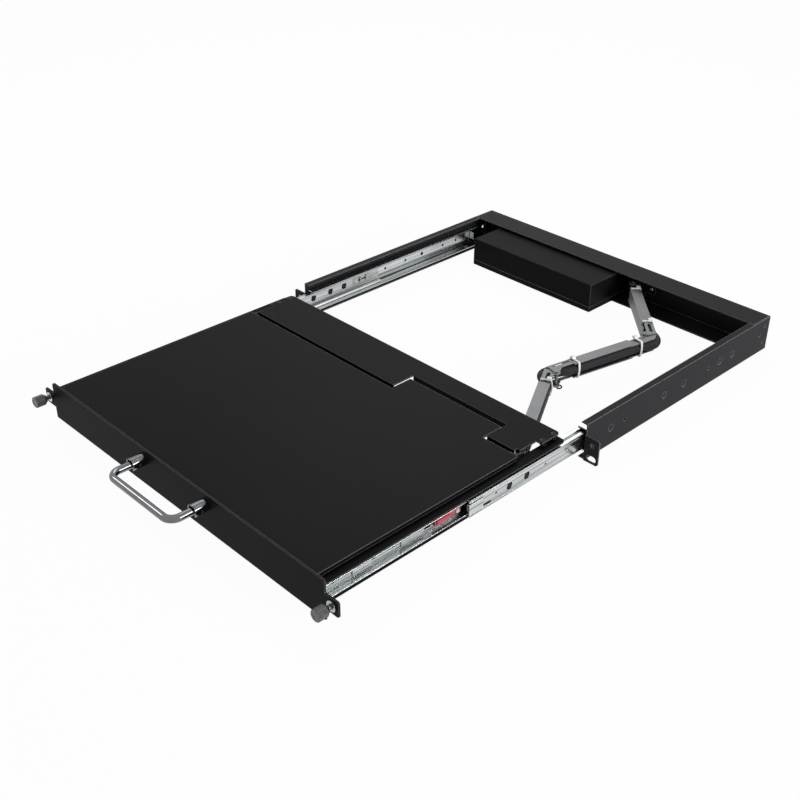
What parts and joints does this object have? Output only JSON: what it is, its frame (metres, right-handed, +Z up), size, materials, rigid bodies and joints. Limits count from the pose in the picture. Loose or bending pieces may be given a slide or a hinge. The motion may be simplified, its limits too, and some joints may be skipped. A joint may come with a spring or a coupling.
{
  "type": "rackmount console drawer",
  "caption": "One-rack-unit console drawer: a telescopic drawer with keyboard, touch pad and fold-up display lid, in a rack chassis with a hinged cable arm.",
  "frame": {"origin": "midway between the two rack slots, on the front face of the chassis ears", "axes": "+X to the right seen from the front, +Y into the rack, +Z up"},
  "size_m": [0.4826, 0.745, 0.0437],
  "materials": {
    "powder_black": "satin black powder coat",
    "powder_grey": "satin dark grey powder coat",
    "zinc": "bright zinc plate",
    "arm_steel": "pre-galvanised sheet",
    "chrome": "polished chrome plate",
    "knob_metal": "turned and knurled",
    "black_plastic": "fine moulded grain",
    "red_plastic": "moulded nylon",
    "white_nylon": "moulded nylon",
    "braid": "braided polyester sleeve",
    "board": "solder mask",
    "screen": "matt display glass",
    "cage_steel": "pressed strip"
  },
  "bodies": {
    "chassis": {"left_side_rail": "powder_black", "right_side_rail": "powder_black", "rear_crossmember": "powder_grey", "power_box_pan": "powder_grey", "power_box_cover": "powder_grey", "power_board": "board", "power_inlet": "black_plastic", "video_socket": "black_plastic", "left_slide_outer": "zinc", "right_slide_outer": "zinc", "rail_screws": "zinc", "arm_rear_bracket": "powder_grey"},
    "left_middle": {"left_slide_middle": "zinc", "left_slide_stop": "black_plastic"},
    "right_middle": {"right_slide_middle": "zinc", "right_slide_stop": "black_plastic"},
    "left_outer_cage": {"left_outer_ball_cage": "cage_steel"},
    "left_inner_cage": {"left_inner_ball_cage": "cage_steel"},
    "right_outer_cage": {"right_outer_ball_cage": "cage_steel"},
    "right_inner_cage": {"right_inner_ball_cage": "cage_steel"},
    "drawer": {"left_slide_inner": "zinc", "right_slide_inner": "zinc", "drawer_tray": "powder_black", "keyboard_deck": "powder_black", "keyboard_base": "black_plastic", "key_caps": "black_plastic", "touch_pad": "black_plastic", "front_panel": "powder_black", "handle_posts": "chrome", "handle_pins": "zinc", "screw_ferrules": "zinc", "rear_cover": "powder_black", "arm_front_bracket": "zinc", "hinge_brackets": "zinc"},
    "space_bar": {"space_bar": "black_plastic"},
    "left_pad_button": {"touch_pad_button_left": "black_plastic"},
    "right_pad_button": {"touch_pad_button_right": "black_plastic"},
    "left_lever": {"left_release_lever": "red_plastic"},
    "right_lever": {"right_release_lever": "red_plastic"},
    "left_screw": {"left_thumb_screw": "knob_metal"},
    "right_screw": {"right_thumb_screw": "knob_metal"},
    "handle": {"handle_bar": "chrome"},
    "lid": {"lid_shell": "powder_black", "display_frame": "black_plastic", "display_panel": "screen", "driver_board": "board", "hinge_leaves": "zinc"},
    "power_button": {"display_power_button": "black_plastic"},
    "menu_pad": {"display_menu_pad": "black_plastic"},
    "first_link": {"arm_link_1": "arm_steel", "arm_rivets_rear": "zinc", "arm_sleeve_1": "braid", "cable_ties_1": "white_nylon"},
    "second_link": {"arm_link_2": "arm_steel", "arm_sleeve_2": "braid", "cable_ties_2": "white_nylon"},
    "third_link": {"arm_link_3": "arm_steel", "arm_rivets_front": "zinc", "arm_sleeve_3": "braid", "cable_ties_3": "white_nylon"}
  },
  "joints": [
    {"name": "drawer_slide", "type": "slide", "parent": "chassis", "child": "drawer", "axis": [0, 1, 0], "range_m": [0, 0.348]},
    {"name": "left_middle_slide", "type": "slide", "parent": "chassis", "child": "left_middle", "axis": [0, 1, 0], "range_m": [0, 0.174]},
    {"name": "left_outer_cage_slide", "type": "slide", "parent": "chassis", "child": "left_outer_cage", "axis": [0, 1, 0], "range_m": [0, 0.087]},
    {"name": "left_inner_cage_slide", "type": "slide", "parent": "chassis", "child": "left_inner_cage", "axis": [0, 1, 0], "range_m": [0, 0.261]},
    {"name": "right_middle_slide", "type": "slide", "parent": "chassis", "child": "right_middle", "axis": [0, 1, 0], "range_m": [0, 0.174]},
    {"name": "right_outer_cage_slide", "type": "slide", "parent": "chassis", "child": "right_outer_cage", "axis": [0, 1, 0], "range_m": [0, 0.087]},
    {"name": "right_inner_cage_slide", "type": "slide", "parent": "chassis", "child": "right_inner_cage", "axis": [0, 1, 0], "range_m": [0, 0.261]},
    {"name": "lid_hinge", "type": "hinge", "parent": "drawer", "child": "lid", "pos_m": [0, -0.076, 0.02965], "axis": [1, 0, 0], "range_deg": [-110, 0]},
    {"name": "handle_fold", "type": "hinge", "parent": "drawer", "child": "handle", "pos_m": [0.003, -0.36, 0.02615], "axis": [1, 0, 0], "range_deg": [0, 90]},
    {"name": "left_thumb_screw_travel", "type": "slide", "parent": "drawer", "child": "left_screw", "axis": [0, 1, 0], "range_m": [0, 0.004]},
    {"name": "right_thumb_screw_travel", "type": "slide", "parent": "drawer", "child": "right_screw", "axis": [0, 1, 0], "range_m": [0, 0.004]},
    {"name": "left_lever_tilt", "type": "hinge", "parent": "drawer", "child": "left_lever", "pos_m": [-0.2112, -0.177, 0.01545], "axis": [1, 0, 0], "range_deg": [0, 6], "stiffness_Nm_per_rad": 0.05, "springref_deg": -5.73},
    {"name": "right_lever_tilt", "type": "hinge", "parent": "drawer", "child": "right_lever", "pos_m": [0.2112, -0.177, 0.01545], "axis": [1, 0, 0], "range_deg": [0, 6], "stiffness_Nm_per_rad": 0.05, "springref_deg": -5.73},
    {"name": "space_bar_press", "type": "slide", "parent": "drawer", "child": "space_bar", "axis": [0, 0, -1], "range_m": [0, 0.002], "stiffness_N_per_m": 150, "springref_m": -0.003},
    {"name": "left_pad_button_press", "type": "slide", "parent": "drawer", "child": "left_pad_button", "axis": [0, 0, -1], "range_m": [0, 0.0006], "stiffness_N_per_m": 400, "springref_m": -0.0006},
    {"name": "right_pad_button_press", "type": "slide", "parent": "drawer", "child": "right_pad_button", "axis": [0, 0, -1], "range_m": [0, 0.0006], "stiffness_N_per_m": 400, "springref_m": -0.0006},
    {"name": "power_button_press", "type": "slide", "parent": "lid", "child": "power_button", "axis": [0, 0, 1], "range_m": [0, 0.0005], "stiffness_N_per_m": 400, "springref_m": -0.0005},
    {"name": "menu_pad_press", "type": "slide", "parent": "lid", "child": "menu_pad", "axis": [0, 0, 1], "range_m": [0, 0.0005], "stiffness_N_per_m": 400, "springref_m": -0.0005},
    {"name": "arm_rear_turn", "type": "hinge", "parent": "chassis", "child": "first_link", "pos_m": [0.047, 0.319, 0.0154], "axis": [0, 0, 1], "range_deg": [0, 44.6]},
    {"name": "arm_first_elbow", "type": "hinge", "parent": "first_link", "child": "second_link", "pos_m": [0.13309, 0.22287, 0.0154], "axis": [0, 0, 1], "range_deg": [-122.5, 0]},
    {"name": "arm_second_elbow", "type": "hinge", "parent": "second_link", "child": "third_link", "pos_m": [0.11969, 0.07877, 0.0154], "axis": [0, 0, 1], "range_deg": [0, 138.1]}
  ],
  "couplings": [
    {"joint": "left_middle_slide", "follows": "drawer_slide", "ratio": 0.5},
    {"joint": "left_outer_cage_slide", "follows": "drawer_slide", "ratio": 0.25},
    {"joint": "left_inner_cage_slide", "follows": "drawer_slide", "ratio": 0.75},
    {"joint": "right_middle_slide", "follows": "drawer_slide", "ratio": 0.5},
    {"joint": "right_outer_cage_slide", "follows": "drawer_slide", "ratio": 0.25},
    {"joint": "right_inner_cage_slide", "follows": "drawer_slide", "ratio": 0.75},
    {"joint": "arm_rear_turn", "follows": "drawer_slide", "rad_per_m": 2.2368},
    {"joint": "arm_first_elbow", "follows": "drawer_slide", "rad_per_m": -6.1437},
    {"joint": "arm_second_elbow", "follows": "drawer_slide", "rad_per_m": 6.9261}
  ]
}
